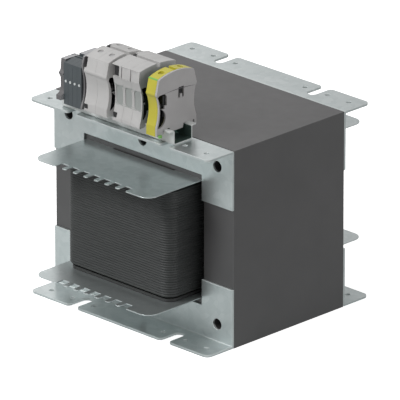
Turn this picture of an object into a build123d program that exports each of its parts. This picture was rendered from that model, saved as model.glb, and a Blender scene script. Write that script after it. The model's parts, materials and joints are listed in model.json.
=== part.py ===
from build123d import *
import os

# Open-frame isolation transformer for a medical supply, in millimetres.
# X runs along the width of the core, the terminals face -Y, and Z = 0 is the mounting plane.
# The origin is in the middle of the footprint.

# Core sheets
limb = 40.0
centre_leg = 80.0
window_width = 40.0
window_height = 120.0
stack_depth = 149.0
pack_count = 4
core_hole = 11.0
core_hole_inset = 20.0

# Clamping and mounting brackets
bracket_sheet = 2.5
bend_inside = 0.8
flange_reach = 36.0
bracket_leg_height = 60.0
bracket_leg_width = 40.8
bracket_band = 34.0
flange_corner = 6.0
slot_centre = 62.3
slot_width = 10.8
slot_depth = 25.0
slot_mouth = 4.0
flange_hole = 5.0
flange_hole_setback = 21.8
flange_hole_inner = 46.8
flange_hole_middle = 76.6
flange_hole_outer = 104.9

# Coil, from the core's leg outwards
leg_clearance = 0.5
former_wall = 2.0
former_flange = 3.0
bore_corner = 0.5
flange_setback = 2.5
layer_gap = 0.2
primary_build = 15.6
end_bulge = 6.5
primary_corner = 6.0
wrap = 1.2
foil = 0.5
secondary_build = 9.0
coil_corner = 13.0
turn_count = 47
turn_groove = 0.6
winding_margin = 2.2

# Baffle plates over and under the coil ends
baffle_sheet = 1.0
baffle_overhang = 35.0
baffle_side_gap = 2.0
baffle_corner = 12.0
baffle_tongue = 38.0
tongue_gap = 1.5
former_gap = 0.3
notch_count = 7
notch_pitch = 14.2
notch_width = 8.6
notch_depth = 10.0
tooth_round = 2.0

# Top-hat rail
rail_width = 35.0
rail_height = 15.0
rail_base = 25.0
rail_sheet = 1.5
rail_bend = 0.8
rail_setback = 17.0
rail_shift = -6.0
rail_margin_left = 4.6
rail_margin_right = 8.2
rivet_stem = 4.8
rivet_head = 9.0
rivet_head_height = 1.6

# Widths along the rail
end_bracket_width = 6.3
sensor_count = 4
sensor_width = 6.0
supply_count = 2
supply_width = 15.15
output_count = 3
output_width = 12.1
earth_width = 12.0
end_plate_width = 2.2
sensor_gap = 9.4
supply_gap = 5.4
output_gap = 11.2
side_gap = 0.1

# Terminal housings: u is measured forwards from the rail's middle, h upwards from its lips
foot_drop = 6.5
seat_gap = 0.3
hook_reach = 1.8
hook_height = 1.5
tongue_half = 9.5
tongue_taper = 1.0
tongue_drop = 4.5
side_wall = 1.8
front_wall = 1.5
thick_front_wall = 3.6
groove_front = 0.9
groove_rear = 3.4
groove_depth = 3.5

# Outline of the tall housings
tall_foot = 26.6
tall_foot_top = 4.0
tall_waist = 23.3
tall_waist_height = 20.5
tall_catch = 26.9
tall_catch_height = 36.5
catch_under = 2.5
catch_over = 2.0
catch_under_reach = 1.2
catch_over_reach = 0.6
tall_corner = 23.3
tall_corner_height = 50.8
tall_top = 55.2

# Outline of the output housings
output_foot = 24.2
output_foot_top = -1.6
output_waist = 20.4
output_waist_height = 21.6
output_brow = 24.8
output_brow_height = 42.0
output_corner = 24.0
output_corner_height = 52.6
output_top = 55.4

# Outline of the sensor housings
sensor_foot = 20.9
sensor_front_height = 35.0
sensor_top = 37.0
sensor_notch = 5.0
sensor_notch_width = 2.0
sensor_notch_depth = 5.0
sensor_ridge = 3.0
sensor_rear_top = 38.8

# Outline of the end bracket
end_foot = 24.8
end_foot_drop = 3.0
end_foot_top = 1.8
end_waist = 19.0
end_waist_height = 8.0
end_curve = 20.2
end_curve_height = 4.4
end_catch = 21.7
end_catch_height = 23.0
catch_drop = 5.0
catch_rise = 3.0
end_corner = 17.9
end_top = 35.3
end_rear_slope = 2.0
end_screw_offset = 4.0
end_screw_depth = 8.0

# Openings in the housings
pocket_rear = 12.8
pocket_front = 26.0
pocket_round = 4.5
bridge_inset = 3.0
upper_height = 12.0
lower_centre = 24.0
lower_height = 12.0
lower_radius = 9.6
entry_width = 9.0
entry_height = 20.0
entry_depth = 0.6
marker_width = 9.2
marker_height = 11.6
marker_depth = 2.0
open_marker_depth = 12.0
marker_drop = 0.8
corner_slot_width = 2.6
corner_slot_height = 10.5
corner_slot_depth = 8.0
corner_slot_drop = 0.6
groove_slot_width = 5.0
groove_slot_reach = 3.8
groove_slot_depth = 5.2
foot_slot_width = 4.9
foot_slot_depth = 5.0
foot_slot_drop = 1.4
foot_slot_rise = 3.6

# Details of the end plate
latch_offset = -6.2
latch_width = 7.4
latch_low = 26.6
latch_high = 37.4
latch_gap = 2.8
latch_gap_high = 30.2
slit_offset = -22.8
slit_middle = -2.4
slit_width = 1.8
slit_height = 4.6
band_top = 36.5
band_radius = 140.0
band_step = 0.35

# Clamps inside the terminals
bar_low = 21.0
bar_thickness = 2.5
bar_half = 19.0
screw_offset = 12.4
supply_screw_shift = -1.0
screw_shank = 4.0
screw_head = 5.4
screw_slot = 0.8
screw_slot_depth = 1.0
screw_bore = 6.0
screw_gap = 0.2
head_depth = 3.0
cage_length = 7.6
cage_low = 12.0
cage_top = 33.0
cage_wall = 1.4
cage_roof = 5.0
cage_gap = 0.4

# Test plugs of the sensor terminals
plug_diameter = 2.6
plug_height = 16.5
plug_length = 5.0
plug_proud = 0.3

# Places worked out from the sizes above
core_half = limb + window_width + centre_leg / 2
core_top = window_height + 2 * limb
core_middle = core_top / 2
face_y = stack_depth / 2
window_low = limb
window_high = limb + window_height
former_x = centre_leg / 2 + leg_clearance + former_wall
former_y = face_y + leg_clearance + former_wall
primary_x = former_x + layer_gap + primary_build
primary_y = former_y + layer_gap + primary_build + end_bulge
former_low = window_low + baffle_sheet + former_gap
former_high = window_high - baffle_sheet - former_gap
wrap_low = former_low + former_flange
wrap_high = former_high - former_flange
coil_low = wrap_low + winding_margin
coil_high = wrap_high - winding_margin
screen_offset = layer_gap + wrap + layer_gap
outer_wrap_offset = screen_offset + foil + layer_gap
secondary_offset = outer_wrap_offset + wrap + layer_gap
coil_x = primary_x + secondary_offset + secondary_build
coil_y = primary_y + secondary_offset + secondary_build
baffle_x = core_half - limb - baffle_side_gap
baffle_y = coil_y + baffle_overhang
rail_y = -(face_y + rail_setback)
lip_top = core_top + rail_height
bar_high = bar_low + bar_thickness

blocks_width = (
    end_bracket_width
    + sensor_count * sensor_width
    + sensor_gap
    + supply_count * supply_width
    + supply_gap
    + output_count * output_width
    + output_gap
    + earth_width
    + end_plate_width
)
rail_length = rail_margin_left + blocks_width + rail_margin_right
rail_left = rail_shift - rail_length / 2
end_bracket_left = rail_left + rail_margin_left
sensor_left = end_bracket_left + end_bracket_width
supply_left = sensor_left + sensor_count * sensor_width + sensor_gap
output_left = supply_left + supply_count * supply_width + supply_gap
earth_left = output_left + output_count * output_width + output_gap
end_plate_left = earth_left + earth_width


def box_between(low, high):
    """A block given by its lowest and highest corners."""
    size = [b - a for a, b in zip(low, high)]
    return Pos(*low) * Box(*size, align=(Align.MIN, Align.MIN, Align.MIN))


def stand_up(sketch, y_low, y_high):
    """Extrudes a sketch drawn in X and Z between two depths."""
    return extrude(Plane.XZ.offset(-y_high) * sketch, y_high - y_low)


def upside_down(shape):
    """The same piece on the other side of the core's middle height."""
    return mirror(shape, about=Plane.XY.offset(core_middle))


def at_rear(shape):
    """The same piece at the rear of the core."""
    return mirror(shape, about=Plane.XZ)


# Core


def core_holes(z):
    places = [(x, z) for x in (core_hole_inset - core_half, 0, core_half - core_hole_inset)]
    return Sketch() + [Pos(*place) * Circle(core_hole / 2) for place in places]


def e_sheet():
    height = limb + window_height
    sheet = Pos(0, height / 2) * Rectangle(2 * core_half, height)
    centre = centre_leg / 2 + window_width / 2
    middle = limb + window_height / 2
    for side in (-1, 1):
        sheet -= Pos(side * centre, middle) * Rectangle(window_width, window_height)
    return sheet - core_holes(core_hole_inset)


def i_sheet():
    bar = Pos(0, core_top - limb / 2) * Rectangle(2 * core_half, limb)
    return bar - core_holes(core_top - core_hole_inset)


def core_packs(sheet):
    """Packs of sheets, laid alternately with their yoke at the bottom and at the top."""
    pack = stack_depth / pack_count
    packs = []
    for i in range(pack_count):
        solid = stand_up(sheet, i * pack - face_y, (i + 1) * pack - face_y)
        packs.append(upside_down(solid) if i % 2 else solid)
    return packs


# Brackets


def flange_outline():
    """The bracket seen from above: round corners and two slots open at the edge."""
    edge = -(face_y + flange_reach)
    plate = Pos(0, -face_y - flange_reach / 2) * Rectangle(2 * core_half, flange_reach)
    slot_end = edge + slot_depth - slot_width / 2
    for side in (-1, 1):
        mouth = Pos(0, (edge + slot_end) / 2) * Rectangle(slot_width, slot_end - edge)
        plate -= Pos(side * slot_centre, 0) * (mouth + Pos(0, slot_end) * Circle(slot_width / 2))
    rim = plate.vertices().filter_by_position(Axis.Y, edge - 1, edge + 1)
    plate = fillet(rim.sort_by(Axis.X)[1:-1], slot_mouth)
    corners = plate.vertices().filter_by_position(Axis.Y, edge - 1, edge + 1).sort_by(Axis.X)
    plate = fillet([corners[0], corners[-1]], flange_corner)
    for x in (flange_hole_inner, flange_hole_middle, flange_hole_outer):
        for side in (-1, 1):
            plate -= Pos(side * x, -face_y - flange_hole_setback) * Circle(flange_hole / 2)
    return plate


def bracket():
    """One bracket, folded from sheet, at the front and top of the core."""
    outer = face_y + flange_reach
    low = core_top - bracket_leg_height
    section = make_face(
        Polyline(
            (-face_y, low),
            (-face_y, core_top),
            (-outer, core_top),
            (-outer, core_top - bracket_sheet),
            (-face_y - bracket_sheet, core_top - bracket_sheet),
            (-face_y - bracket_sheet, low),
            close=True,
        )
    )
    corners = section.vertices()
    outside = corners.sort_by_distance((-face_y, core_top))[0]
    section = fillet(outside, bend_inside + bracket_sheet)
    inside = (-face_y - bracket_sheet, core_top - bracket_sheet)
    section = fillet(section.vertices().sort_by_distance(inside)[0], bend_inside)
    angle = extrude(Plane.YZ * section, core_half, both=True)
    angle &= extrude(Plane.XY.offset(low) * flange_outline(), bracket_leg_height)
    opening = core_half - bracket_leg_width
    angle -= box_between(
        (-opening, -face_y - 2 * bracket_sheet, low - 1),
        (opening, -face_y + 1, core_top - bracket_band),
    )
    return angle - stand_up(core_holes(core_top - core_hole_inset), -outer, -face_y + 1)


# Baffle plates


def baffle():
    """A thin plate with a comb edge for the leads and two tongues that reach into the windows."""
    root = -face_y - tongue_gap
    inner = centre_leg / 2 + tongue_gap
    plate = Pos(0, (root - baffle_y) / 2) * Rectangle(2 * baffle_x, baffle_y + root)
    first = -notch_pitch * (notch_count - 1) / 2
    for i in range(notch_count):
        plate -= Pos(first + i * notch_pitch, -baffle_y) * Rectangle(notch_width, 2 * notch_depth)
    tips = plate.vertices().filter_by_position(Axis.Y, -baffle_y - 1, -baffle_y + 1).sort_by(Axis.X)
    plate = fillet(tips[1:-1], tooth_round)
    tips = plate.vertices().filter_by_position(Axis.Y, -baffle_y - 1, -baffle_y + 1).sort_by(Axis.X)
    plate = fillet([tips[0], tips[-1]], baffle_corner)
    for side in (-1, 1):
        middle = side * (inner + baffle_x) / 2
        plate += Pos(middle, root + baffle_tongue / 2) * Rectangle(baffle_x - inner, baffle_tongue)
    return extrude(Plane.XY.offset(window_high - baffle_sheet) * plate, baffle_sheet)


# Coil


def ring(inner, outer, low, high):
    """A layer of the coil between two rounded rectangles, each given as half sizes and corner."""
    faces = []
    for half_x, half_y, corner in (inner, outer):
        faces.append(RectangleRounded(2 * half_x, 2 * half_y, corner))
    return extrude(Plane.XY.offset(low) * (faces[1] - faces[0]), high - low)


def around_primary(offset):
    return (primary_x + offset, primary_y + offset, primary_corner + offset)


def coil_former():
    """A square tube with a flange at each end."""
    bore_x = former_x - former_wall
    bore_y = former_y - former_wall
    bore = (bore_x, bore_y, bore_corner)
    shape = ring(bore, (former_x, former_y, former_wall), former_low, former_high)
    rim = (coil_x - flange_setback, coil_y - flange_setback, coil_corner - flange_setback)
    for low in (former_low, former_high - former_flange):
        shape += ring(bore, rim, low, low + former_flange)
    return shape


def primary_winding():
    inner = (former_x + layer_gap, former_y + layer_gap, former_wall + layer_gap)
    return ring(inner, around_primary(0), coil_low, coil_high)


def layer(offset, thickness):
    return ring(around_primary(offset), around_primary(offset + thickness), wrap_low, wrap_high)


def secondary_winding():
    """The outer winding, its turns seen as ridges that run round the coil."""
    pitch = (coil_high - coil_low) / turn_count
    crest = secondary_build
    points = [(0, coil_low)]
    for i in range(turn_count):
        z = coil_low + i * pitch
        points.append((crest - turn_groove, z))
        points.append((crest, z + pitch / 2))
    points.append((crest - turn_groove, coil_high))
    points.append((0, coil_high))
    section = make_face(Polyline(*points, close=True))
    inner_x = coil_x - secondary_build
    inner_y = coil_y - secondary_build
    corner = coil_corner - secondary_build
    turned = revolve(Plane.XZ * section_shift(section, corner), Axis.Z, 90)
    pieces = []
    for x_side, y_side, angle in ((1, 1, 0), (-1, 1, 90), (-1, -1, 180), (1, -1, 270)):
        place = Pos(x_side * (inner_x - corner), y_side * (inner_y - corner), 0)
        pieces.append(place * Rot(0, 0, angle) * turned)
    along_y = extrude(Plane.XZ * section_shift(section, inner_x), inner_y - corner, both=True)
    along_x = extrude(Plane.XZ * section_shift(section, inner_y), inner_x - corner, both=True)
    pieces += [along_y, Rot(0, 0, 180) * along_y]
    pieces += [Rot(0, 0, 90) * along_x, Rot(0, 0, 270) * along_x]
    winding = pieces[0]
    for piece in pieces[1:]:
        winding += piece
    return winding


def section_shift(section, distance):
    return Pos(distance, 0) * section


# Rail


def mounting_rail():
    """Top-hat section with small bends, resting on the front upper flange."""
    lip = rail_width / 2
    wall = rail_base / 2
    right = [
        (wall, 0),
        (wall, rail_height - rail_sheet),
        (lip, rail_height - rail_sheet),
        (lip, rail_height),
        (wall - rail_sheet, rail_height),
        (wall - rail_sheet, rail_sheet),
    ]
    left = [(-u, h) for u, h in reversed(right)]
    section = make_face(Polyline(*right, *left, close=True))
    for side in (-1, 1):
        for corner in ((wall, rail_height - rail_sheet), (wall - rail_sheet, rail_sheet)):
            point = (side * corner[0], corner[1])
            section = fillet(section.vertices().sort_by_distance(point)[0], rail_bend)
        for corner in ((wall, 0), (wall - rail_sheet, rail_height)):
            point = (side * corner[0], corner[1])
            section = fillet(section.vertices().sort_by_distance(point)[0], rail_bend + rail_sheet)
    rail = extrude(across_rail(rail_left + rail_length, core_top) * section, rail_length)
    for x in (-flange_hole_inner, flange_hole_inner):
        rail -= Pos(x, rivet_y(), core_top) * Cylinder(flange_hole / 2, 4 * rail_sheet)
    return rail


def across_rail(x, z):
    """A plane across the rail: its first axis points forwards, its second up, and it faces -X."""
    return Plane(origin=(x, rail_y, z), x_dir=(0, -1, 0), z_dir=(-1, 0, 0))


def rivet_y():
    return -face_y - flange_hole_setback


def rail_rivets():
    """Blind rivets through the rail and the flange, in two of the flange's own holes."""
    low = core_top - bracket_sheet
    high = core_top + rail_sheet
    rivets = []
    stand = (Align.CENTER, Align.CENTER, Align.MIN)
    for x in (-flange_hole_inner, flange_hole_inner):
        stem = Pos(x, rivet_y(), low) * Cylinder(rivet_stem / 2, high - low, align=stand)
        head = Pos(x, rivet_y(), high) * Cylinder(rivet_head / 2, rivet_head_height, align=stand)
        rivets.append(stem + head)
    return rivets


# Terminal housings


def seat_points(foot, drop):
    """Underside of a housing from its front foot to the middle: hook, lip seat and tongue."""
    lip = rail_width / 2 + seat_gap
    hook = -rail_sheet - seat_gap
    return [
        (foot, -drop),
        (lip + hook_reach, -drop),
        (lip, hook - hook_height - hook_reach / 2),
        (lip - hook_reach, hook - hook_height),
        (lip - hook_reach, hook),
        (lip, hook),
        (lip, 0),
        (tongue_half, 0),
        (tongue_half - tongue_taper, -tongue_drop),
    ]


def housing_face(front, foot, drop, top=None, rear=None):
    """Closes a housing's outline from its front edge, its top and the seat on the rail."""
    edges = Curve() + front
    edges += mirror(edges, about=Plane.YZ) if rear is None else rear
    if top is not None:
        edges += top
    seat = seat_points(foot, drop)
    edges += Polyline(*seat, *[(-u, h) for u, h in reversed(seat)])
    return make_face(edges)


def tall_face():
    """Waisted housing with a small catch above the wire entry and an arched top."""
    foot_edge = Line((tall_foot, -foot_drop), (tall_foot, tall_foot_top))
    below_catch = (tall_catch - catch_under_reach, tall_catch_height - catch_under)
    above_catch = (tall_catch - catch_over_reach, tall_catch_height + catch_over)
    waist = ThreePointArc(foot_edge @ 1, (tall_waist, tall_waist_height), below_catch)
    catch = ThreePointArc(below_catch, (tall_catch, tall_catch_height), above_catch)
    corner = (tall_corner, tall_corner_height)
    brow = Line(catch @ 1, corner)
    arch = ThreePointArc(corner, (0, tall_top), (-corner[0], corner[1]))
    return housing_face([foot_edge, waist, catch, brow], tall_foot, foot_drop, top=arch)


def output_face():
    """Housing with one long waist over the round wire entry."""
    corner = (output_corner, output_corner_height)
    foot_edge = Line((output_foot, -foot_drop), (output_foot, output_foot_top))
    under_brow = (output_brow, output_brow_height)
    waist = ThreePointArc(foot_edge @ 1, (output_waist, output_waist_height), under_brow)
    brow = Line(under_brow, corner)
    arch = ThreePointArc(corner, (0, output_top), (-corner[0], corner[1]))
    return housing_face([foot_edge, waist, brow], output_foot, foot_drop, top=arch)


def sensor_face():
    """Low flat-fronted housing with two notches on top and a raised rear half."""
    front = Line((sensor_foot, -foot_drop), (sensor_foot, sensor_front_height))
    floor = sensor_top - sensor_notch_depth
    edges = [sensor_notch + sensor_notch_width, sensor_notch]
    edges += [sensor_notch - sensor_ridge, sensor_notch - sensor_ridge - sensor_notch_width]
    top = [
        front @ 1,
        (edges[0], sensor_top),
        (edges[0], floor),
        (edges[1], floor),
        (edges[1], sensor_top),
        (edges[2], sensor_top),
        (edges[2], floor),
        (edges[3], floor),
        (edges[3], sensor_rear_top),
        (-sensor_foot, sensor_rear_top),
        (-sensor_foot, -foot_drop),
    ]
    return housing_face([front], sensor_foot, foot_drop, rear=Polyline(*top))


def end_bracket_face():
    """Low clamp with a wide foot, higher in front of its screw than behind."""
    front = [Line((end_foot, -end_foot_drop), (end_foot, end_foot_top))]
    waist = (end_waist, end_waist_height)
    front.append(ThreePointArc(front[-1] @ 1, (end_curve, end_curve_height), waist))
    front.append(Line(front[-1] @ 1, (end_waist, end_catch_height - catch_drop)))
    front.append(Line(front[-1] @ 1, (end_catch, end_catch_height)))
    front.append(Line(front[-1] @ 1, (end_waist, end_catch_height + catch_rise)))
    rear = mirror(Curve() + front, about=Plane.YZ)
    rear += Polyline(
        front[-1] @ 1,
        (end_corner, end_top),
        (0, end_top),
        (-end_rear_slope, end_catch_height + catch_rise),
        (-end_waist, end_catch_height + catch_rise),
    )
    return housing_face(front, end_foot, end_foot_drop, rear=rear)


def front_pocket(face, wall):
    """Openings at the front of a housing's open side: screw chamber, wire chamber and bar end."""
    middle = (pocket_rear + pocket_front) / 2
    width = pocket_front - pocket_rear
    upper = Pos(middle, bar_high + upper_height / 2) * Rectangle(width, upper_height)
    upper = fillet(upper.vertices().group_by(Axis.Y)[-1], pocket_round)
    lower = Pos(lower_centre, lower_height) * Circle(lower_radius)
    bridge_left = pocket_rear + bridge_inset
    bridge = Pos((bridge_left + pocket_front) / 2, (bar_low + bar_high) / 2) * Rectangle(
        pocket_front - bridge_left, bar_thickness + 2 * seat_gap
    )
    return (upper + lower + bridge) & (Pos(-wall, -wall) * face)


def side_pocket(face, wall):
    """The same openings at the front and at the rear."""
    front = front_pocket(face, wall)
    return front + mirror(front, about=Plane.YZ)


def bar_room():
    """The narrow room that holds the current bar."""
    height = bar_thickness + 2 * cage_gap
    return Pos(0, (bar_low + bar_high) / 2) * Rectangle(2 * (bar_half + cage_gap), height)


def cage_rooms(shift):
    """The rooms in which the cages slide."""
    room = Rectangle(cage_length + 2 * cage_gap, cage_top - cage_low + 2 * cage_gap)
    middle = (cage_top + cage_low) / 2
    rooms = [Pos(shift + side * screw_offset, middle) * room for side in (-1, 1)]
    return rooms[0] + rooms[1]


def housing(face, left, width, rooms, right_wall=0.0):
    """A housing moulded in one piece, its rooms open on its right side unless that has a wall."""
    right = left + width - side_gap
    block = extrude(across_rail(right, lip_top) * face, width - side_gap)
    for room in rooms:
        depth = width - side_gap - side_wall
        block -= extrude(across_rail(right - right_wall, lip_top) * room, depth)
    return block


def clamped_housing(face, left, width, wall, shift=0.0):
    """A housing with a clamp at each end of its bar, and a groove across the top."""
    block = housing(face, left, width, [side_pocket(face, wall), bar_room(), cage_rooms(shift)])
    return block - box_between(
        (left - 1, rail_y - groove_front, lip_top + tall_top - groove_depth),
        (left + width + 1, rail_y + groove_rear, lip_top + tall_top + 2),
    )


def screw_places(left, width, shift):
    """Middles of a terminal's two screws, on top of their cages."""
    y = rail_y - shift
    x = left + width / 2
    return [Pos(x, y + side * screw_offset, lip_top + cage_top) for side in (-1, 1)]


def with_bores(block, left, width, shift):
    """Bores from the top of a housing down to its cages."""
    stand = (Align.CENTER, Align.CENTER, Align.MIN)
    for place in screw_places(left, width, shift):
        block -= place * Cylinder(screw_bore / 2, tall_top, align=stand)
    return block


def with_open_corners(block, left, foot):
    """The free side of the first housing of a group: openings at its groove and foot."""
    block -= box_between(
        (left - 1, rail_y - groove_front, lip_top + tall_top - groove_slot_depth),
        (left + groove_slot_width, rail_y + groove_rear + groove_slot_reach, lip_top + tall_top + 2),
    )
    return block - box_between(
        (left - 1, rail_y - foot - 1, lip_top - foot_slot_drop),
        (left + foot_slot_width, rail_y - foot + foot_slot_depth, lip_top + foot_slot_rise),
    )


def supply_terminal(i):
    left = supply_left + i * supply_width
    block = clamped_housing(tall_face(), left, supply_width, thick_front_wall, supply_screw_shift)
    block = with_bores(block, left, supply_width, supply_screw_shift)
    if i > 0:
        return block
    high = lip_top + tall_corner_height - corner_slot_drop
    block -= box_between(
        (left - 1, rail_y - tall_foot - 1, high - corner_slot_height),
        (left + corner_slot_width, rail_y - tall_corner + corner_slot_depth, high),
    )
    return with_open_corners(block, left, tall_foot)


def output_terminal(i):
    """Housing with an oval wire entry and a window under its brow, by which its spring is opened."""
    left = output_left + i * output_width
    face = output_face()
    block = clamped_housing(face, left, output_width, front_wall + entry_depth)
    place = Pos(left + output_width / 2, lip_top + output_waist_height)
    oval = SlotOverall(entry_height, entry_width, rotation=90)
    entry = stand_up(place * oval, rail_y - output_brow, rail_y)
    floor = across_rail(left + output_width, lip_top) * Pos(-entry_depth, 0) * face
    block -= entry - extrude(floor, output_width)
    high = lip_top + output_corner_height - marker_drop
    depth = marker_depth if i > 0 else open_marker_depth
    block -= box_between(
        (left - 1, rail_y - output_brow - 1, high - marker_height),
        (left + marker_width, rail_y - output_corner + depth, high),
    )
    return with_open_corners(block, left, output_foot) if i == 0 else block


def sensor_terminal(i):
    """Narrow housing, open towards the row's left end, with a test socket in its front."""
    left = sensor_left + i * sensor_width
    face = sensor_face()
    block = housing(face, left, sensor_width, [side_pocket(face, front_wall), bar_room()], side_wall)
    place = Pos(left + sensor_width / 2, lip_top + plug_height)
    hole = place * Circle(plug_diameter / 2 + screw_gap)
    front = rail_y - sensor_foot
    return block - stand_up(hole, front - 1, front + plug_length + screw_gap)


def test_plug(i):
    place = Pos(sensor_left + (i + 0.5) * sensor_width, lip_top + plug_height)
    front = rail_y - sensor_foot - plug_proud
    return stand_up(place * Circle(plug_diameter / 2), front, front + plug_length)


def earth_terminal():
    block = clamped_housing(tall_face(), earth_left, earth_width, front_wall)
    return with_bores(block, earth_left, earth_width, 0.0)


def end_bracket():
    """Clamp at the row's left end, with a screw bore in its middle."""
    place = across_rail(end_bracket_left + end_bracket_width - side_gap, lip_top)
    block = extrude(place * end_bracket_face(), end_bracket_width - side_gap)
    middle = end_bracket_left + end_bracket_width / 2
    bore = Pos(middle, rail_y - end_screw_offset, lip_top + end_top)
    return block - bore * Cylinder(screw_shank / 2, 2 * end_screw_depth)


def end_plate():
    """Plate over the earth terminal's open side, cut out where the wire goes in."""
    face = tall_face()
    right = end_plate_left + end_plate_width
    plate = extrude(across_rail(right, lip_top) * face, end_plate_width)
    latch_middle = (latch_low + latch_high) / 2
    latch = Pos(latch_offset, latch_middle) * Rectangle(latch_width, latch_high - latch_low)
    latch -= Pos(latch_offset, latch_gap_high - latch_high / 2) * Rectangle(latch_gap, latch_high)
    slit = Pos(slit_offset, slit_middle) * Rectangle(slit_width, slit_height)
    cut = front_pocket(face, front_wall) + latch + slit
    outside = across_rail(right + 1, lip_top)
    plate -= extrude(outside * cut, end_plate_width + 2)
    band = Pos(0, band_top - band_radius) * Circle(band_radius)
    return plate - extrude(outside * (face & band), 1 + band_step)


# Clamps inside the terminals


def current_bar(low_x, high_x):
    """A flat bar through a housing, between two places along the rail."""
    return box_between(
        (low_x, rail_y - bar_half, lip_top + bar_low),
        (high_x, rail_y + bar_half, lip_top + bar_high),
    )


def current_bars():
    """One bar in each terminal; those with cages pass between the cages' walls."""
    bars = []
    for i in range(sensor_count):
        left = sensor_left + i * sensor_width
        bars.append(current_bar(left + cage_gap, left + sensor_width - side_gap - side_wall - cage_gap))
    inset = 2 * cage_gap + cage_wall
    for left, width, shift in screw_terminals() + spring_terminals():
        bars.append(current_bar(left + side_wall + inset, left + width - side_gap - inset))
    return bars


def cage_frames(left, width, shift):
    """Square steel frames round both ends of the bar, with a thick roof."""
    low_x = left + side_wall + cage_gap
    high_x = left + width - side_gap - cage_gap
    cages = []
    for side in (-1, 1):
        middle = rail_y - shift + side * screw_offset
        low_y = middle - cage_length / 2
        high_y = middle + cage_length / 2
        cage = box_between((low_x, low_y, lip_top + cage_low), (high_x, high_y, lip_top + cage_top))
        cages.append(
            cage
            - box_between(
                (low_x + cage_wall, low_y - 1, lip_top + cage_low + cage_wall),
                (high_x - cage_wall, high_y + 1, lip_top + cage_top - cage_roof),
            )
        )
    return cages


def clamp_cages():
    """The frames of all terminals; those for screws are bored through their roofs."""
    cages = []
    for place in spring_terminals():
        cages += cage_frames(*place)
    for place in screw_terminals():
        for cage, middle in zip(cage_frames(*place), screw_places(*place)):
            cages.append(cage - middle * Cylinder(screw_shank / 2 + screw_gap, 3 * cage_roof))
    return cages


def clamp_screws():
    """Slotted screws with long heads, from just under the housing's top to the bar."""
    stand = (Align.CENTER, Align.CENTER, Align.MIN)
    shank = cage_top - bar_high + screw_gap
    head = tall_top - head_depth - cage_top - screw_gap
    screws = []
    for terminal in screw_terminals():
        for middle in screw_places(*terminal):
            screw = Pos(0, 0, screw_gap - shank) * Cylinder(screw_shank / 2, shank, align=stand)
            screw += Pos(0, 0, screw_gap) * Cylinder(screw_head / 2, head, align=stand)
            slot = Box(2 * screw_head, screw_slot, 2 * screw_slot_depth)
            screws.append(middle * (screw - Pos(0, 0, screw_gap + head) * slot))
    return screws


def screw_terminals():
    """Left edge, width and clamp shift of each terminal with screws."""
    places = []
    for i in range(supply_count):
        places.append((supply_left + i * supply_width, supply_width, supply_screw_shift))
    return places + [(earth_left, earth_width, 0.0)]


def spring_terminals():
    """Left edge, width and clamp shift of each terminal with springs."""
    return [(output_left + i * output_width, output_width, 0.0) for i in range(output_count)]


def write(name, shape):
    """Writes one node: a solid, or a group of separate solids."""
    if isinstance(shape, list):
        shape = Compound(children=shape)
    export_step(shape, f"parts/{name}.step")


os.makedirs("parts", exist_ok=True)
write("e_laminations", core_packs(e_sheet()))
write("i_laminations", core_packs(i_sheet()))
front_top = bracket()
write("front_top_bracket", front_top)
write("front_bottom_bracket", upside_down(front_top))
write("rear_top_bracket", at_rear(front_top))
write("rear_bottom_bracket", at_rear(upside_down(front_top)))
front_upper = baffle()
write("front_upper_baffle", front_upper)
write("front_lower_baffle", upside_down(front_upper))
write("rear_upper_baffle", at_rear(front_upper))
write("rear_lower_baffle", at_rear(upside_down(front_upper)))
write("coil_former", coil_former())
write("primary_winding", primary_winding())
write("inner_insulation", layer(layer_gap, wrap))
write("screen_foil", layer(screen_offset, foil))
write("outer_insulation", layer(outer_wrap_offset, wrap))
write("secondary_winding", secondary_winding())
write("mounting_rail", mounting_rail())
write("rail_rivets", rail_rivets())
write("terminal_end_bracket", end_bracket())
for i in range(sensor_count):
    write(f"sensor_terminal_{i + 1}", sensor_terminal(i))
write("test_plugs", [test_plug(i) for i in range(sensor_count)])
for i in range(supply_count):
    write(f"supply_terminal_{i + 1}", supply_terminal(i))
for i in range(output_count):
    write(f"output_terminal_{i + 1}", output_terminal(i))
write("earth_terminal", earth_terminal())
write("terminal_end_plate", end_plate())
write("current_bars", current_bars())
write("clamp_cages", clamp_cages())
write("clamp_screws", clamp_screws())
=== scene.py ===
"""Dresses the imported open-frame isolation transformer and sets up the photograph's view.

Metres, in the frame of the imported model: X along the core's width, the terminals face -Y, Z up.
"""

import json
import math
import random

import bmesh
import bpy
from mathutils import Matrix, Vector

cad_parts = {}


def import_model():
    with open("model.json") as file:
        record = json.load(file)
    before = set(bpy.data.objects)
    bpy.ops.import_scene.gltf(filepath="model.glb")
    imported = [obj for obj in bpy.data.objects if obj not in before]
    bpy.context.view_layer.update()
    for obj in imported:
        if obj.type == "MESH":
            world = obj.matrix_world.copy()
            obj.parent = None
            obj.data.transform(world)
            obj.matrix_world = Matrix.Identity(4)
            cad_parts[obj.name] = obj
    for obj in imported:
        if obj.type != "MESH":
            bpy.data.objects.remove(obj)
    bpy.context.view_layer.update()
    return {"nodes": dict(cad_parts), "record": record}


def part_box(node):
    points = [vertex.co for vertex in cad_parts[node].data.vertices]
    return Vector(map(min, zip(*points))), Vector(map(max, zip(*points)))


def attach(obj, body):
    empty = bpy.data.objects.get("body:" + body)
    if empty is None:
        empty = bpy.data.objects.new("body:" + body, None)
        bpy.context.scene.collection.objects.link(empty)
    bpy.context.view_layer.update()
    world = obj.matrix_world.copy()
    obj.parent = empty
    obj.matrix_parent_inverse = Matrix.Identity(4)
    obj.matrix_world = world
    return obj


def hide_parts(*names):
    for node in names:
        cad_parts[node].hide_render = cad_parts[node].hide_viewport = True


MM = 0.001

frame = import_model()


# Materials

POSITION = "Position"


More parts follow.
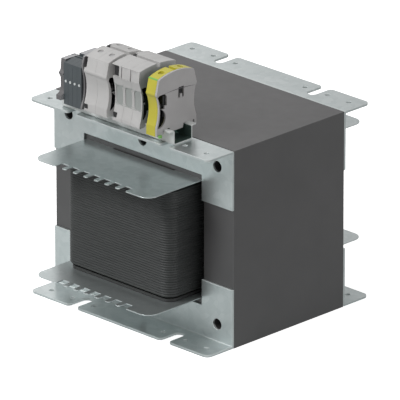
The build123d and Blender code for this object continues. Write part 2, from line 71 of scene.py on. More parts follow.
class Nodes:
    """A material and short ways to add nodes to it."""

    def __init__(self, name):
        self.material = bpy.data.materials.new(name)
        self.material.use_nodes = True
        self.tree = self.material.node_tree
        self.shader = self.tree.nodes["Principled BSDF"]
        self.place = self.add("ShaderNodeNewGeometry").outputs[POSITION]

    def add(self, kind, **settings):
        node = self.tree.nodes.new(kind)
        for key, value in settings.items():
            setattr(node, key, value)
        return node

    def link(self, source, target):
        self.tree.links.new(source, target)

    def stretched(self, scale):
        """The position times a scale along each axis."""
        node = self.add("ShaderNodeVectorMath", operation="MULTIPLY")
        self.link(self.place, node.inputs[0])
        node.inputs[1].default_value = scale
        return node.outputs[0]

    def noise(self, scale, detail=3.0, stretch=(1, 1, 1)):
        node = self.add("ShaderNodeTexNoise")
        node.inputs["Scale"].default_value = scale
        node.inputs["Detail"].default_value = detail
        self.link(self.stretched(stretch), node.inputs["Vector"])
        return node.outputs["Fac"]

    def cells(self, scale):
        """A value for each cell of a crystal pattern."""
        node = self.add("ShaderNodeTexVoronoi", feature="F1")
        node.inputs["Scale"].default_value = scale
        self.link(self.place, node.inputs["Vector"])
        grey = self.add("ShaderNodeSeparateColor")
        self.link(node.outputs["Color"], grey.inputs[0])
        return grey.outputs[0]

    def ramp(self, value, *stops):
        """A colour for each value, between stops of (place, colour)."""
        node = self.add("ShaderNodeValToRGB")
        for element, (place, colour) in zip(node.color_ramp.elements, stops):
            element.position = place
            element.color = (*colour, 1.0)
        self.link(value, node.inputs["Fac"])
        return node.outputs["Color"]

    def range(self, value, low, high):
        """A value between 0 and 1, brought between low and high."""
        node = self.add("ShaderNodeMapRange")
        node.inputs["To Min"].default_value = low
        node.inputs["To Max"].default_value = high
        self.link(value, node.inputs["Value"])
        return node.outputs["Result"]

    def sum(self, first, second):
        node = self.add("ShaderNodeMath", operation="ADD")
        self.link(first, node.inputs[0])
        self.link(second, node.inputs[1])
        return node.outputs[0]

    def bump(self, height, distance, strength=1.0):
        node = self.add("ShaderNodeBump")
        node.inputs["Distance"].default_value = distance
        node.inputs["Strength"].default_value = strength
        self.link(height, node.inputs["Height"])
        self.link(node.outputs["Normal"], self.shader.inputs["Normal"])

    def set(self, **values):
        for key, value in values.items():
            socket = self.shader.inputs[key.replace("_", " ")]
            if isinstance(value, bpy.types.NodeSocket):
                self.link(value, socket)
            else:
                socket.default_value = value


def galvanised(name, light, dark):
    """Zinc-coated sheet: faint crystals, cloudy gloss and a soft waviness."""
    nodes = Nodes(name)
    crystals = nodes.range(nodes.cells(scale=160), 0, 0.35)
    cloud = nodes.range(nodes.noise(scale=22, detail=4), 0, 0.65)
    tone = nodes.sum(crystals, cloud)
    nodes.set(Base_Color=nodes.ramp(tone, (0.15, dark), (0.85, light)), Metallic=0.88)
    nodes.set(Roughness=nodes.range(tone, 0.36, 0.27))
    nodes.bump(nodes.noise(scale=60), distance=0.02 * MM)
    return nodes.material


def core_varnish(name, light, dark):
    """Dark varnish over the stacked sheets, whose edges show as fine lines."""
    nodes = Nodes(name)
    grime = nodes.noise(scale=30, detail=4)
    nodes.set(Base_Color=nodes.ramp(grime, (0.3, dark), (0.7, light)))
    nodes.set(Roughness=nodes.range(nodes.noise(scale=90), 0.36, 0.46), Specular_IOR_Level=1.0)
    sheets = nodes.noise(scale=1900, detail=1, stretch=(0, 1, 0))
    nodes.bump(sheets, distance=0.05 * MM, strength=0.5)
    return nodes.material


def varnished_wire(name, light, dark):
    """Enamelled wire under a dull varnish."""
    nodes = Nodes(name)
    along = nodes.noise(scale=45, stretch=(1, 1, 9))
    nodes.set(Base_Color=nodes.ramp(along, (0.3, dark), (0.7, light)))
    nodes.set(Roughness=nodes.range(nodes.noise(scale=300, detail=2), 0.5, 0.62))
    nodes.bump(nodes.noise(scale=900, detail=2), distance=0.02 * MM)
    return nodes.material


def moulded(name, colour, roughness=0.42):
    """Moulded polyamide: an even colour with a fine spark-eroded grain."""
    nodes = Nodes(name)
    shade = tuple(c * 0.93 for c in colour)
    nodes.set(Base_Color=nodes.ramp(nodes.noise(scale=55), (0.35, shade), (0.65, colour)))
    gloss = nodes.noise(scale=700, detail=2)
    nodes.set(Roughness=nodes.range(gloss, roughness - 0.05, roughness + 0.06))
    nodes.bump(nodes.noise(scale=2600, detail=2), distance=0.012 * MM)
    return nodes.material


def plain_metal(name, colour, smooth, rough, scale=400, metallic=1.0):
    """Metal or dull zinc with a cloudy gloss, between a smooth and a rough value."""
    nodes = Nodes(name)
    shade = tuple(c * 0.88 for c in colour)
    cloud = nodes.noise(scale=scale / 4)
    nodes.set(Base_Color=nodes.ramp(cloud, (0.3, shade), (0.7, colour)), Metallic=metallic)
    nodes.set(Roughness=nodes.range(nodes.noise(scale=scale), smooth, rough))
    return nodes.material


def wrap_sheet(name, light, dark):
    """Insulation paper with fibres round the coil."""
    nodes = Nodes(name)
    fibres = nodes.noise(scale=500, detail=4, stretch=(1, 1, 0.15))
    nodes.set(Base_Color=nodes.ramp(fibres, (0.3, dark), (0.7, light)), Roughness=0.6)
    nodes.bump(fibres, distance=0.02 * MM)
    return nodes.material


# How each finish is made, its name, and its colours and gloss
FINISHES = (
    # The frame
    (galvanised, "galvanised", (0.62, 0.66, 0.66), (0.5, 0.55, 0.55)),
    (plain_metal, "bend_zinc", (0.6, 0.64, 0.635), 0.45, 0.55, 120, 0.5),
    (plain_metal, "rail_zinc", (0.6, 0.62, 0.61), 0.45, 0.55, 120, 0.3),
    # painted shade: a dark teal for the inside of the rail
    (plain_metal, "rail_channel", (0.13, 0.19, 0.17), 0.5, 0.6, 120),
    (plain_metal, "rivet_steel", (0.6, 0.6, 0.62), 0.3, 0.45),
    (core_varnish, "core_varnish", (0.044, 0.042, 0.043), (0.036, 0.0345, 0.0352)),
    # The coil
    (moulded, "former_plastic", (0.02, 0.02, 0.02), 0.5),
    (varnished_wire, "winding_wire", (0.0245, 0.0265, 0.026), (0.0145, 0.0165, 0.016)),
    (wrap_sheet, "insulation_wrap", (0.62, 0.56, 0.42), (0.5, 0.44, 0.3)),
    (plain_metal, "screen_copper", (0.8, 0.45, 0.3), 0.3, 0.4),
    # The terminals
    (moulded, "terminal_grey", (0.37, 0.36, 0.36)),
    (moulded, "terminal_dark", (0.055, 0.066, 0.072)),
    (moulded, "terminal_light", (0.41, 0.405, 0.4)),
    (moulded, "terminal_earth", (0.44, 0.395, 0.033)),
    (moulded, "end_grey", (0.11, 0.107, 0.11)),
    (moulded, "plate_grey", (0.16, 0.156, 0.16)),
    # a light grey for tops, tags and a screw, and painted light on the end bracket's foot side
    (moulded, "tag_grey", (0.36, 0.36, 0.37)),
    # painted light: a light grey for the supply group's right side, which stands in shade
    (moulded, "side_grey", (0.66, 0.65, 0.64)),
    # painted shadow: a dark line along the end plate's arched step
    (moulded, "line_grey", (0.1, 0.095, 0.1)),
    (moulded, "entry_grey", (0.26, 0.275, 0.265)),
    (moulded, "screw_grey", (0.37, 0.37, 0.37)),
    # painted shade: a darker copy of the earth yellow for the shade down the earth screws' holes
    (moulded, "screw_yellow", (0.3, 0.26, 0.02)),
    (moulded, "earth_green", (0.16, 0.4, 0.08)),
    # painted shade: a dark green for the earth terminal's left side
    (moulded, "earth_side", (0.03, 0.1, 0.03)),
    # painted shade: near black for rooms and openings where shade falls
    (moulded, "chamber_dark", (0.012, 0.012, 0.013), 0.6),
    (moulded, "plug_white", (0.5, 0.52, 0.52), 0.35),
    (plain_metal, "bar_metal", (0.75, 0.75, 0.74), 0.25, 0.35),
    (plain_metal, "clamp_steel", (0.09, 0.09, 0.09), 0.4, 0.55),
)
MATERIALS = {name: make(name, *values) for make, name, *values in FINISHES}
SLOT_OF = {row["node"]: row["material_slot"] for row in frame["record"]["subparts"]}


def paint(piece, finish):
    piece.data.materials.clear()
    piece.data.materials.append(MATERIALS[finish])


for node, piece in frame["nodes"].items():
    paint(piece, SLOT_OF[node])


# Pieces with rounded edges, from the solids' own meshes

SAME_PLANE = math.radians(0.5)
EDGE_ANGLE = math.radians(28)


def cleaned(mesh, triangles):
    """Joins a solid's triangles into flat faces, so that only its real edges are left.

    Faces of many sides stay whole, or are split again into triangles.
    """
    work = bmesh.new()
    work.from_mesh(mesh)
    bmesh.ops.remove_doubles(work, verts=work.verts, dist=0.001 * MM)
    bmesh.ops.dissolve_limit(
        work, angle_limit=SAME_PLANE, verts=work.verts, edges=work.edges, delimit=set()
    )
    if triangles:
        many_sided = [face for face in work.faces if len(face.verts) > 4]
        bmesh.ops.triangulate(work, faces=many_sided)
    clean = bpy.data.meshes.new(mesh.name + "_edges")
    work.to_mesh(clean)
    work.free()
    return clean


def turned_outwards(mesh):
    """Makes all faces of a closed mesh look outwards."""
    work = bmesh.new()
    work.from_mesh(mesh)
    bmesh.ops.recalc_face_normals(work, faces=work.faces)
    work.to_mesh(mesh)
    work.free()


def set_smooth(mesh):
    for polygon in mesh.polygons:
        polygon.use_smooth = True


def placed(name, mesh):
    """An object of the scene with this mesh."""
    piece = bpy.data.objects.new(name, mesh)
    bpy.context.scene.collection.objects.link(piece)
    return piece


def replacing(piece, node):
    """Puts a finished piece in the place of its solids."""
    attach(piece, "root")
    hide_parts(node)


def added(name, mesh, finish):
    """A piece of the scene's own, beside the solids."""
    piece = placed(name, mesh)
    mesh.materials.append(MATERIALS[finish])
    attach(piece, "root")


def rounded(node, radius, place=None, own_finish=None, base=None):
    """A copy of a node with its sharp edges broken by a small radius.

    place may shift its corners, own_finish may give some of its faces a finish of their own,
    and base is the finish of the others where it isn't that of the node's slot.
    """
    mesh = cleaned(frame["nodes"][node].data, triangles=SLOT_OF[node] != "galvanised")
    if place:
        for vertex in mesh.vertices:
            vertex.co = place(vertex.co)
    set_smooth(mesh)
    mesh.set_sharp_from_angle(angle=EDGE_ANGLE)
    piece = placed(node + "_rounded", mesh)
    bevel = piece.modifiers.new("edges", "BEVEL")
    bevel.width = radius
    bevel.segments = 2
    bevel.limit_method = "ANGLE"
    bevel.angle_limit = EDGE_ANGLE
    bevel.use_clamp_overlap = False
    bevel.miter_outer = "MITER_ARC"
    bevel.face_strength_mode = "FSTR_ALL"
    smooth = piece.modifiers.new("flat", "WEIGHTED_NORMAL")
    smooth.use_face_influence = True
    smooth.keep_sharp = False
    smooth.weight = 100
    view = bpy.context.evaluated_depsgraph_get()
    piece.data = bpy.data.meshes.new_from_object(piece.evaluated_get(view))
    piece.modifiers.clear()
    paint(piece, base or SLOT_OF[node])
    if own_finish:
        finishes = [None]
        for polygon in piece.data.polygons:
            name = own_finish(polygon)
            if name not in finishes:
                finishes.append(name)
                piece.data.materials.append(MATERIALS[name])
            polygon.material_index = finishes.index(name)
    replacing(piece, node)


# Secondary winding, turn by turn

TURNS = 43
TURN_GROOVE = 1.0 * MM
TURN_FULLNESS = 0.6
TURN_UNEVEN = 0.07 * MM
WINDING_DEPTH = 9 * MM
COIL_CORNER = 13 * MM
STEPS_A_TURN = 7
STEPS_A_CORNER = 10


def rounded_rectangle(half_x, half_y):
    """Centres and outward directions round a rectangle with the coil's round corners."""
    places = []
    for quarter in range(4):
        sign_x = (1, -1, -1, 1)[quarter]
        sign_y = (1, 1, -1, -1)[quarter]
        centre = (sign_x * (half_x - COIL_CORNER), sign_y * (half_y - COIL_CORNER))
        for step in range(STEPS_A_CORNER + 1):
            angle = math.pi / 2 * (quarter + step / STEPS_A_CORNER)
            places.append((centre, (math.cos(angle), math.sin(angle))))
    return places


def turn_profile(low_z, high_z):
    """Depth and height along the winding's outside: a round ridge for each turn."""
    pitch = (high_z - low_z) / TURNS
    rng = random.Random(4)
    section = [(-WINDING_DEPTH, low_z)]
    for turn in range(TURNS):
        base = low_z + turn * pitch
        proud = rng.uniform(-TURN_UNEVEN, 0.0)
        for step in range(STEPS_A_TURN):
            share = (step + 0.5) / STEPS_A_TURN
            ridge = math.sin(math.pi * share) ** TURN_FULLNESS
            section.append((proud - TURN_GROOVE * (1 - ridge), base + share * pitch))
    section.append((-WINDING_DEPTH, high_z))
    return section


def winding():
    """Each turn is a rounded ridge, with a slightly uneven lay."""
    low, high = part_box("secondary_winding")
    places = rounded_rectangle(high.x, high.y)
    section = turn_profile(low.z, high.z)
    count = len(section)
    vertices = []
    for (centre_x, centre_y), (out_x, out_y) in places:
        for depth, z in section:
            reach = COIL_CORNER + depth
            vertices.append((centre_x + out_x * reach, centre_y + out_y * reach, z))
    faces = []
    for i in range(len(places)):
        here, following = i * count, (i + 1) % len(places) * count
        for j in range(count):
            k = (j + 1) % count
            faces.append((here + j, following + j, following + k, here + k))
    mesh = bpy.data.meshes.new("winding_turns")
    mesh.from_pydata(vertices, [], faces)
    turned_outwards(mesh)
    set_smooth(mesh)
    mesh.set_sharp_from_angle(angle=math.radians(50))
    piece = placed("winding_turns", mesh)
    paint(piece, "winding_wire")
    replacing(piece, "secondary_winding")


winding()


# Brackets and baffles, with sizes in millimetres

BAFFLE_EDGE = 0.22
BRACKET_EDGE = 0.35
BEND_Y, BEND_Z = 77.8, 196.7
BEND_RADIUS = 3.3
BEND_OUTSIDE = 0.8 * BEND_RADIUS
BEND_PULL = 0.75
CORE_MIDDLE = 100.0
FLAT_FACE = 0.97


def sharper_bend(point):
    """Draws the outside of a bracket's bend nearer to its corner."""
    across = BEND_Y * MM - abs(point.y)
    side = 1 if point.z > CORE_MIDDLE * MM else -1
    along = side * (point.z - CORE_MIDDLE * MM) - (BEND_Z - CORE_MIDDLE) * MM
    far = math.hypot(across, along)
    if across < 0 or along < 0 or far < BEND_OUTSIDE * MM:
        return point
    grow = (max(across, along) / far) ** -BEND_PULL
    y = math.copysign(BEND_Y * MM - across * grow, point.y)
    return Vector((point.x, y, point.z + side * along * (grow - 1)))


def bent_face(polygon):
    """Zinc is duller where the sheet is bent or cut."""
    return "bend_zinc" if max(abs(value) for value in polygon.normal) < FLAT_FACE else None


for name in [name for name in frame["nodes"] if SLOT_OF[name] == "galvanised"]:
    if "baffle" in name:
        rounded(name, BAFFLE_EDGE * MM)
    else:
        rounded(name, BRACKET_EDGE * MM, place=sharper_bend, own_finish=bent_face)


# Terminals: finishes of their faces, among them painted light and shade, and small changes of
# their outlines

# Sizes are in millimetres. What is called forwards is measured from the rail's middle towards
# the front, and height from the top of the rail's lips.
RAIL_Y = -91.5
LIP_TOP = 215.0
SUPPLY_LEFT, SUPPLY_WIDTH = -36.65, 15.15
OUTPUT_LEFT, OUTPUT_WIDTH = -0.95, 12.1
EARTH_LEFT, EARTH_WIDTH = 46.55, 12.0
SENSOR_LEFT, SENSOR_WIDTH = -70.05, 6.0
SENSOR_COUNT, SUPPLY_COUNT, OUTPUT_COUNT = 4, 2, 3
END_BRACKET_LEFT, END_BRACKET_WIDTH = -76.35, 6.3
END_PLATE_RIGHT = 60.75

# A waisted front: the waist's height, how far it stands forwards, and the reach and rise of
# the curves under and over it
TALL_WAIST = (20.5, 23.3, (16.5, 3.3), (13.5, 2.4))
OUTPUT_WAIST = (21.6, 20.4, (23.2, 3.8), (20.4, 4.4))
SENSOR_FRONT = 20.9

# The rooms inside, behind the walls
SIDE_WALL = 1.8
FRONT_WALL = 1.3
RIGHT_FACE = 0.35
ROOM_LOW, ROOM_TOP, SENSOR_ROOM_TOP = 1.0, 39.0, 34.5
WINDOW_LOW = 34.0

# A face looks along an axis where its normal has more than ALONG of it, and is square to it
# where its normal has less than SQUARE
ALONG, SQUARE = 0.9, 0.3

# How far from a side a face's middle may lie that belongs to the side
SIDE_DEPTH = 0.4

# The lowest edges of the feet, and how far they are moved up
FOOT_EDGE = -6.2
SENSOR_FOOT_RISE = -0.7
SUPPLY_FOOT_RISE = 2.9
OUTPUT_FOOT_RISE = 2.1
EARTH_FOOT_RISE = 1.2

# The end bracket's upper part is moved up
BRACKET_UPPER, BRACKET_RISE = 30.0, 1.7

# Over these heights a face that looks up is a light top
SENSOR_REAR_TOP, BRACKET_TOP = 38.0, 36.0

# The end bracket's foot is in front of and under these
FOOT_REAR, FOOT_TOP = 15.0, 6.0

PLASTIC_EDGE = 0.12
RAIL_EDGE = 0.15
RAIL_INNER_HALF, RAIL_INNER_FLOOR = 11.2, -13.7


def from_rail(point):
    """How far a point is forwards of the rail's middle and above its lips."""
    return RAIL_Y - point.y / MM, point.z / MM - LIP_TOP


def front_at(height, waist):
    """How far forwards a waisted front stands at a height."""
    middle, least, below, above = waist
    reach, rise = below if height < middle else above
    return least + rise * ((height - middle) / reach) ** 2


def is_inside(polygon, left, width, waist):
    """True for the faces of a terminal's rooms, which are open on its right side."""
    forwards, height = from_rail(polygon.center)
    x = polygon.center.x / MM
    front = front_at(height, waist) if waist else SENSOR_FRONT
    top = ROOM_TOP if waist else SENSOR_ROOM_TOP
    normal = polygon.normal
    looks_forwards = abs(normal.x) < SQUARE and abs(normal.z) < SQUARE
    return (
        left + SIDE_WALL - 0.1 < x < left + width - RIGHT_FACE
        and abs(forwards) < front - FRONT_WALL
        and ROOM_LOW < height < top
        and not (height > WINDOW_LOW and looks_forwards)
    )


def foot_moved(rise):
    """Moves the lowest edge of a terminal's foot up or down."""

    def place(point):
        moved = Vector(point)
        if from_rail(point)[1] < FOOT_EDGE:
            moved.z += rise * MM
        return moved

    return place


def terminal_finish(left, width, waist, sides=(None, None), faces=None):
    """Painted shade in the rooms, and finishes of their own for the faces that look left and
    right, which here are painted light or shade.
    """

    def own_finish(polygon):
        # the faces inside the rooms are painted near black as painted shade
        if is_inside(polygon, left, width, waist):
            return "chamber_dark"
        x = polygon.center.x / MM
        if sides[0] and polygon.normal.x < -ALONG and x < left + SIDE_DEPTH:
            return sides[0]
        if sides[1] and polygon.normal.x > ALONG and x > left + width - SIDE_DEPTH:
            return sides[1]
        return faces(polygon) if faces else None

    return own_finish


def sensor_top(polygon):
    """The raised rear half of each sensor terminal has a light top."""
    raised = polygon.normal.z > ALONG and from_rail(polygon.center)[1] > SENSOR_REAR_TOP
    return "tag_grey" if raised else None


def raised_top(point):
    """The end bracket reaches a little higher than its solid."""
    moved = Vector(point)
    if from_rail(point)[1] > BRACKET_UPPER:
        moved.z += BRACKET_RISE * MM
    return moved


def bracket_faces(polygon):
    """The end bracket's top is light, and the side of its foot is painted light over the shade it
    stands in.
    """
    forwards, height = from_rail(polygon.center)
    top = polygon.normal.z > ALONG and height > BRACKET_TOP
    # the foot's side stands in shade and is painted light
    foot = polygon.normal.x > ALONG and forwards > FOOT_REAR and height < FOOT_TOP
    return "tag_grey" if top or foot else None


def channel_face(polygon):
    """The inside of the rail is painted dark: painted shade in the channel."""
    forwards, height = from_rail(polygon.center)
    inside = abs(forwards) < RAIL_INNER_HALF and height > RAIL_INNER_FLOOR
    return "rail_channel" if inside else None


def terminals():
    edge = PLASTIC_EDGE * MM
    place = foot_moved(SENSOR_FOOT_RISE)
    for i in range(SENSOR_COUNT):
        left = SENSOR_LEFT + i * SENSOR_WIDTH
        finish = terminal_finish(left, SENSOR_WIDTH, None, faces=sensor_top)
        rounded(f"sensor_terminal_{i + 1}", edge, place, finish)
    place = foot_moved(SUPPLY_FOOT_RISE)
    for i in range(SUPPLY_COUNT):
        left = SUPPLY_LEFT + i * SUPPLY_WIDTH
        # the last supply terminal's right side is painted lighter: painted light on a side in
        # shade
        sides = (None, "side_grey" if i == SUPPLY_COUNT - 1 else None)
        finish = terminal_finish(left, SUPPLY_WIDTH, TALL_WAIST, sides)
        rounded(f"supply_terminal_{i + 1}", edge, place, finish)
    place = foot_moved(OUTPUT_FOOT_RISE)
    for i in range(OUTPUT_COUNT):
        left = OUTPUT_LEFT + i * OUTPUT_WIDTH
        finish = terminal_finish(left, OUTPUT_WIDTH, OUTPUT_WAIST)
        rounded(f"output_terminal_{i + 1}", edge, place, finish)
    place = foot_moved(EARTH_FOOT_RISE)
    # the earth terminal's left side is painted dark green and its right side near black: painted
    # shade
    finish = terminal_finish(EARTH_LEFT, EARTH_WIDTH, TALL_WAIST, ("earth_side", "chamber_dark"))
    rounded("earth_terminal", edge, place, finish)
    rounded("terminal_end_plate", edge, place)
    rounded("terminal_end_bracket", edge, raised_top, bracket_faces, base="end_grey")
    # the rail's inside takes painted shade
    rounded("mounting_rail", RAIL_EDGE * MM, own_finish=channel_face)


terminals()


# Small terminal parts of the scene's own, among them dark boxes and strips of painted shade, in
# the same millimetres


def extruded(name, outline, low_x, high_x, finish):
    """A plate between two places along the rail, from an outline of (forwards, height)."""
    count = len(outline)
    points = []
    for x in (low_x, high_x):
        points += [(x * MM, (RAIL_Y - u) * MM, (LIP_TOP + h) * MM) for u, h in outline]
    faces = [tuple(range(count)), tuple(reversed(range(count, 2 * count)))]
    for i in range(count):
        following = (i + 1) % count
        faces.append((i, i + count, following + count, following))
    mesh = bpy.data.meshes.new(name)
    mesh.from_pydata(points, [], faces)
    turned_outwards(mesh)
    added(name, mesh, finish)


def rectangle(near, far, low, high):
    """An outline from near to far and from low to high."""
    return [(near, low), (near, high), (far, high), (far, low)]


def open_corners():
    """Dark boxes of painted shade behind the openings at the free side of each group's first
    terminal.
    """
    foot_near, foot_far, foot_width = 1.2, 4.95, 4.8
    room_width, corner_width, window_width = 4.9, 2.5, 9.1
    seam = 0.05
    groove = rectangle(0.8, -3.35, 50.05, 51.4)
    top_room = rectangle(-3.35, -7.15, 50.05, 54.0)
    supply_corner = rectangle(22.1, 15.35, 39.75, 50.15)
    output_window = rectangle(20.9, 12.05, 40.25, 51.75)
    shade_boxes = []
    for group, left, foot in (("supply", SUPPLY_LEFT, 26.6), ("output", OUTPUT_LEFT, 24.2)):
        foot_room = rectangle(foot - foot_near, foot - foot_far, -1.4, 3.5)
        inner = left + seam
        shade_boxes.append((group + "_foot_painted_shade", foot_room, left, left + foot_width))
        shade_boxes.append((group + "_groove_painted_shade", groove, inner, inner + room_width))
        shade_boxes.append((group + "_top_painted_shade", top_room, inner, inner + room_width))
    inner = SUPPLY_LEFT + seam
    shade_boxes.append(("supply_corner_painted_shade", supply_corner, inner, inner + corner_width))
    inner = OUTPUT_LEFT + seam
    shade_boxes.append(("output_window_painted_shade", output_window, inner, inner + window_width))
    # each box is near black: painted shade in the opening
    for name, outline, low_x, high_x in shade_boxes:
        extruded(name, outline, low_x, high_x, "chamber_dark")


def entry_guides():
    """A darker guide on the floor of each oval wire entry, which follows the curved front."""
    oval_half_width, oval_half_height = 4.6, 10.5
    middle_z = LIP_TOP + OUTPUT_WAIST[0]
    front = 19.0
    faces_front = -0.5
    lift = Vector((0, -0.04 * MM, 0))
    for i in range(OUTPUT_COUNT):
        source = frame["nodes"][f"output_terminal_{i + 1}"].data
        middle_x = OUTPUT_LEFT + (i + 0.5) * OUTPUT_WIDTH
        faces = []
        for polygon in source.polygons:
            x, z = polygon.center.x / MM, polygon.center.z / MM
            near = abs(x - middle_x) < oval_half_width and abs(z - middle_z) < oval_half_height
            if near and polygon.normal.y < faces_front and from_rail(polygon.center)[0] > front:
                faces.append(tuple(polygon.vertices))
        numbers = {}
        for face in faces:
            for vertex in face:
                numbers.setdefault(vertex, len(numbers))
        places = [source.vertices[vertex].co + lift for vertex in numbers]
        name = f"entry_guide_{i + 1}"
        mesh = bpy.data.meshes.new(name)
        mesh.from_pydata(places, [], [[numbers[vertex] for vertex in face] for face in faces])
        set_smooth(mesh)
        added(name, mesh, "entry_grey")


def sensor_plate():
    """The grey plate that closes the sensor group: a waisted strip, a body and a light top."""
    front = [(22.6, -6.0), (22.4, -4.5), (21.4, -1.5), (20.3, 1.6), (19.4, 4.5), (18.8, 8.0)]
    front += [(18.4, 12.0), (18.2, 17.0), (18.5, 22.0), (19.0, 27.0), (19.7, 31.0)]
    front += [(20.3, 34.5), (20.7, 37.5), (20.3, 40.5), (19.0, 44.5), (18.2, 46.3)]
    strip = front + [(17.0, 46.3), (17.0, -2.0), (18.6, -4.0), (19.6, -6.0)]
    body = rectangle(17.0, -17.0, 0.4, 46.3)
    top = [(18.1, 46.35), (-17.0, 46.35), (-17.0, 46.8), (17.9, 46.8)]
    left = SENSOR_LEFT + SENSOR_COUNT * SENSOR_WIDTH + 0.05
    right = left + 2.1
    extruded("sensor_plate_front", strip, left, right, "plate_grey")
    extruded("sensor_plate", body, left, right - 0.1, "end_grey")
    extruded("sensor_plate_top", top, left, right, "tag_grey")


def window_tags():
    """Blank tags in the windows of the second and third output terminal."""
    tag = [(22.05, 40.35), (23.9, 40.35), (23.35, 51.65), (22.05, 51.65)]
    for i in (1, 2):
        left = OUTPUT_LEFT + i * OUTPUT_WIDTH + 0.15
        extruded(f"window_tag_{i}", tag, left, left + 8.9, "terminal_light")


def disc(name, x, y, radius, height, finish):
    """The round face of a screw; its height is that of its top."""
    steps = 24
    thickness = 1.5
    points = []
    for z in (LIP_TOP + height - thickness, LIP_TOP + height):
        for i in range(steps):
            angle = 2 * math.pi * i / steps
            point = (x + radius * math.cos(angle), y + radius * math.sin(angle), z)
            points.append(tuple(v * MM for v in point))
    faces = [tuple(reversed(range(steps))), tuple(range(steps, 2 * steps))]
    for i in range(steps):
        following = (i + 1) % steps
        faces.append((i, following, following + steps, i + steps))
    mesh = bpy.data.meshes.new(name)
    mesh.from_pydata(points, [], faces)
    added(name, mesh, finish)


def screw_faces():
    """What the short screw holes show: the supply's, the earth's and the end bracket's."""
    reach = 12.4
    radius = 2.95
    supply_y = RAIL_Y + 1.0
    for i in range(SUPPLY_COUNT):
        x = SUPPLY_LEFT + (i + 0.5) * SUPPLY_WIDTH
        disc(f"supply_screw_front_{i + 1}", x, supply_y - reach, radius, 53.1, "screw_grey")
        disc(f"supply_screw_rear_{i + 1}", x, supply_y + reach, radius, 52.6, "screw_grey")
    x = EARTH_LEFT + EARTH_WIDTH / 2
    # the earth screws' faces are a darker yellow: painted shade in their holes
    disc("earth_screw_front", x, RAIL_Y - reach, radius, 52.8, "screw_yellow")
    disc("earth_screw_rear", x, RAIL_Y + reach, radius, 52.8, "screw_yellow")
    x = END_BRACKET_LEFT + END_BRACKET_WIDTH / 2
    disc("end_screw", x, RAIL_Y - 4.0, 1.95, 36.7, "tag_grey")


def band_painted_shadow():
    """A dark strip of painted shadow along the arched step on the end plate, widest in its
    middle.
    """
    radius = 140.0
    top = 36.5
    front, rear = 16.0, -25.0
    steps = 24
    upper, lower = [], []
    for i in range(steps + 1):
        share = i / steps
        u = front + (rear - front) * share
        h = top - radius + math.sqrt(radius**2 - u**2)
        width = 0.25 + 0.6 * math.sin(math.pi * share)
        upper.append((u, h - 0.02))
        lower.append((u, h - width))
    outline = upper + lower[::-1]
    low_x, high_x = END_PLATE_RIGHT - 0.5, END_PLATE_RIGHT - 0.33
    extruded("band_painted_shadow", outline, low_x, high_x, "line_grey")


def earth_parts():
    """The green edge over the earth terminal's brow and its green foot."""
    edge = [(23.49, 50.0), (23.58, 50.02), (23.36, 50.88), (22.3, 51.28), (22.27, 51.2)]
    edge.append((23.28, 50.8))
    low_x, high_x = EARTH_LEFT + 0.1, EARTH_LEFT + EARTH_WIDTH - 0.1
    extruded("earth_edge", edge, low_x, high_x, "earth_green")
    foot = rectangle(24.9, 21.6, -6.4, -3.9)
    low_x, high_x = END_PLATE_RIGHT - 0.1, END_PLATE_RIGHT + 1.9
    extruded("earth_foot", foot, low_x, high_x, "earth_green")


open_corners()
entry_guides()
sensor_plate()
window_tags()
screw_faces()
band_painted_shadow()
earth_parts()


# Stage, light and camera, in metres

ACROSS = (0.7071, 0.7071, 0)
TOWARDS = (0.7071, -0.7071, 0)


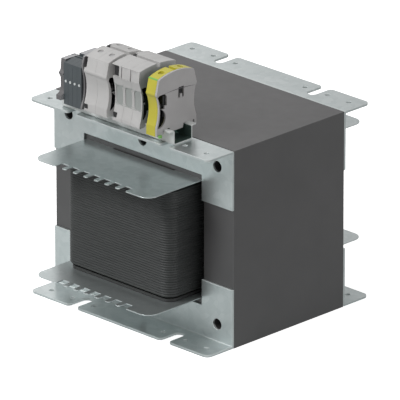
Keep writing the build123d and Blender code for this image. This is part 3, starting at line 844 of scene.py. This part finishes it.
class Stage:
    """A stage material, with a separate look for the camera, for gloss and for all other rays."""

    def __init__(self, name):
        self.material = bpy.data.materials.new(name)
        self.material.use_nodes = True
        self.tree = self.material.node_tree
        self.tree.nodes.clear()
        self.surface = self.tree.nodes.new("ShaderNodeOutputMaterial").inputs["Surface"]
        self.path = self.tree.nodes.new("ShaderNodeLightPath")

    def link(self, source, target):
        self.tree.links.new(source, target)

    def fade(self, direction, start, end, low, high):
        """A strength that changes with the place along a direction."""
        place = self.tree.nodes.new("ShaderNodeNewGeometry").outputs[POSITION]
        along = self.tree.nodes.new("ShaderNodeVectorMath")
        along.operation = "DOT_PRODUCT"
        self.link(place, along.inputs[0])
        along.inputs[1].default_value = direction
        node = self.tree.nodes.new("ShaderNodeMapRange")
        node.inputs["From Min"].default_value = start
        node.inputs["From Max"].default_value = end
        node.inputs["To Min"].default_value = low
        node.inputs["To Max"].default_value = high
        self.link(along.outputs["Value"], node.inputs["Value"])
        return node.outputs["Result"]

    def steps(self, value, stops):
        """A strength for each value, between stops of (place, strength)."""
        node = self.tree.nodes.new("ShaderNodeValToRGB")
        elements = node.color_ramp.elements
        while len(elements) < len(stops):
            elements.new(0.5)
        for element, (place, strength) in zip(elements, stops):
            element.position = place
            element.color = (strength, strength, strength, 1.0)
        self.link(value, node.inputs["Fac"])
        return node.outputs["Color"]

    def glow(self, strength, colour=(1, 1, 1)):
        node = self.tree.nodes.new("ShaderNodeEmission")
        node.inputs["Color"].default_value = (*colour, 1)
        if isinstance(strength, float):
            node.inputs["Strength"].default_value = strength
        else:
            self.link(strength, node.inputs["Strength"])
        return node.outputs[0]

    def matt(self, shade):
        node = self.tree.nodes.new("ShaderNodeBsdfDiffuse")
        if isinstance(shade, float):
            node.inputs["Color"].default_value = (shade, shade, shade, 1)
        else:
            self.link(shade, node.inputs["Color"])
        return node.outputs[0]

    def clear(self):
        return self.tree.nodes.new("ShaderNodeBsdfTransparent").outputs[0]

    def add(self, first, second):
        node = self.tree.nodes.new("ShaderNodeAddShader")
        self.link(first, node.inputs[0])
        self.link(second, node.inputs[1])
        return node.outputs[0]

    def where(self, ray, inside, outside):
        """One look for this kind of ray, and another for the rest."""
        node = self.tree.nodes.new("ShaderNodeMixShader")
        self.link(self.path.outputs[ray], node.inputs[0])
        self.link(outside, node.inputs[1])
        self.link(inside, node.inputs[2])
        return node.outputs[0]


def floor():
    """A floor that is white to the camera, with the object's own shade on it.

    To gloss it is dimmer, a little blue-green, and uneven as in the photograph's surroundings.
    """
    bpy.ops.mesh.primitive_plane_add(size=12, location=(0, 0, -0.0002))
    plane = bpy.context.object
    plane.name = "floor"
    stage = Stage("floor")
    seen = stage.add(stage.matt(0.8), stage.glow(0.78))
    pool = stage.fade(TOWARDS, -0.05, 0.15, 0.37, 0.22)
    across = stage.fade(ACROSS, -0.7, 0.5, 0.0, 1.0)
    stops = ((0.0, 0.32), (0.19, 0.2), (0.29, 0.46), (0.4, 0.5), (0.6, 0.33), (0.88, 0.18))
    sheen = stage.glow(stage.steps(across, stops), (0.93, 1.0, 1.0))
    gloss = stage.add(stage.matt(pool), sheen)
    rest = stage.where("Is Glossy Ray", gloss, stage.matt(0.45))
    stage.link(stage.where("Is Camera Ray", seen, rest), stage.surface)
    plane.data.materials.append(stage.material)


def sky_card():
    """Seen only in gloss, behind the object to the left, and brighter towards its left end."""
    bpy.ops.mesh.primitive_plane_add(size=1, location=(-0.85, 0.85, 0.8))
    card = bpy.context.object
    card.name = "sky_card"
    card.scale = (4, 1.7, 1)
    card.rotation_euler = (math.radians(90), 0, math.radians(45))
    stage = Stage("sky_card")
    strength = stage.fade(ACROSS, -0.6, 0.6, 1.45, 0.27)
    stage.link(stage.where("Is Glossy Ray", stage.glow(strength), stage.clear()), stage.surface)
    card.data.materials.append(stage.material)


def world():
    """White to the camera, a little dimmer to gloss and a dim even light for everything else."""
    to_camera, to_gloss, to_rest = 1.0, 0.6, 0.55
    sky = bpy.data.worlds.new("sky")
    sky.use_nodes = True
    bpy.context.scene.world = sky
    tree = sky.node_tree
    background = tree.nodes["Background"]
    background.inputs["Color"].default_value = (to_camera, to_camera, to_camera, 1)
    path = tree.nodes.new("ShaderNodeLightPath")
    gloss = tree.nodes.new("ShaderNodeMapRange")
    gloss.inputs["To Min"].default_value = to_rest
    gloss.inputs["To Max"].default_value = to_gloss
    tree.links.new(path.outputs["Is Glossy Ray"], gloss.inputs["Value"])
    strength = tree.nodes.new("ShaderNodeMath")
    strength.operation = "MAXIMUM"
    tree.links.new(path.outputs["Is Camera Ray"], strength.inputs[0])
    tree.links.new(gloss.outputs["Result"], strength.inputs[1])
    tree.links.new(strength.outputs[0], background.inputs["Strength"])


def area_light(name, location, size, watts):
    """A round lamp that looks at the object's middle, 0.1 m over the floor."""
    data = bpy.data.lights.new(name, "AREA")
    data.shape = "DISK"
    data.size = size
    data.energy = watts
    lamp = placed(name, data)
    lamp.location = location
    aim = Vector((0, 0, 0.1)) - Vector(location)
    lamp.rotation_euler = aim.to_track_quat("-Z", "Y").to_euler()


def camera():
    """The photograph's view: nearly parallel, from the right-hand front and a little above."""
    azimuth = math.radians(44.764)
    elevation = math.radians(21.218)
    distance = 8.1688
    focal_pixels = 8525.1
    image_width = 400
    target = Vector((1.08, -0.35, 98.08)) * MM
    level = math.cos(elevation)
    back = Vector((math.sin(azimuth) * level, -math.cos(azimuth) * level, math.sin(elevation)))
    data = bpy.data.cameras.new("camera")
    data.sensor_width = 36
    data.lens = focal_pixels / image_width * data.sensor_width
    data.clip_end = 40
    eye = placed("camera", data)
    eye.location = target + back * distance
    eye.rotation_euler = (-back).to_track_quat("-Z", "Y").to_euler()
    bpy.context.scene.camera = eye


floor()
world()
sky_card()
area_light("key", (-0.5, -1.7, 1.8), 1.2, 43)
area_light("fill", (2.2, 0.4, 0.9), 1.6, 12)
camera()
bpy.context.scene.view_settings.view_transform = "Standard"
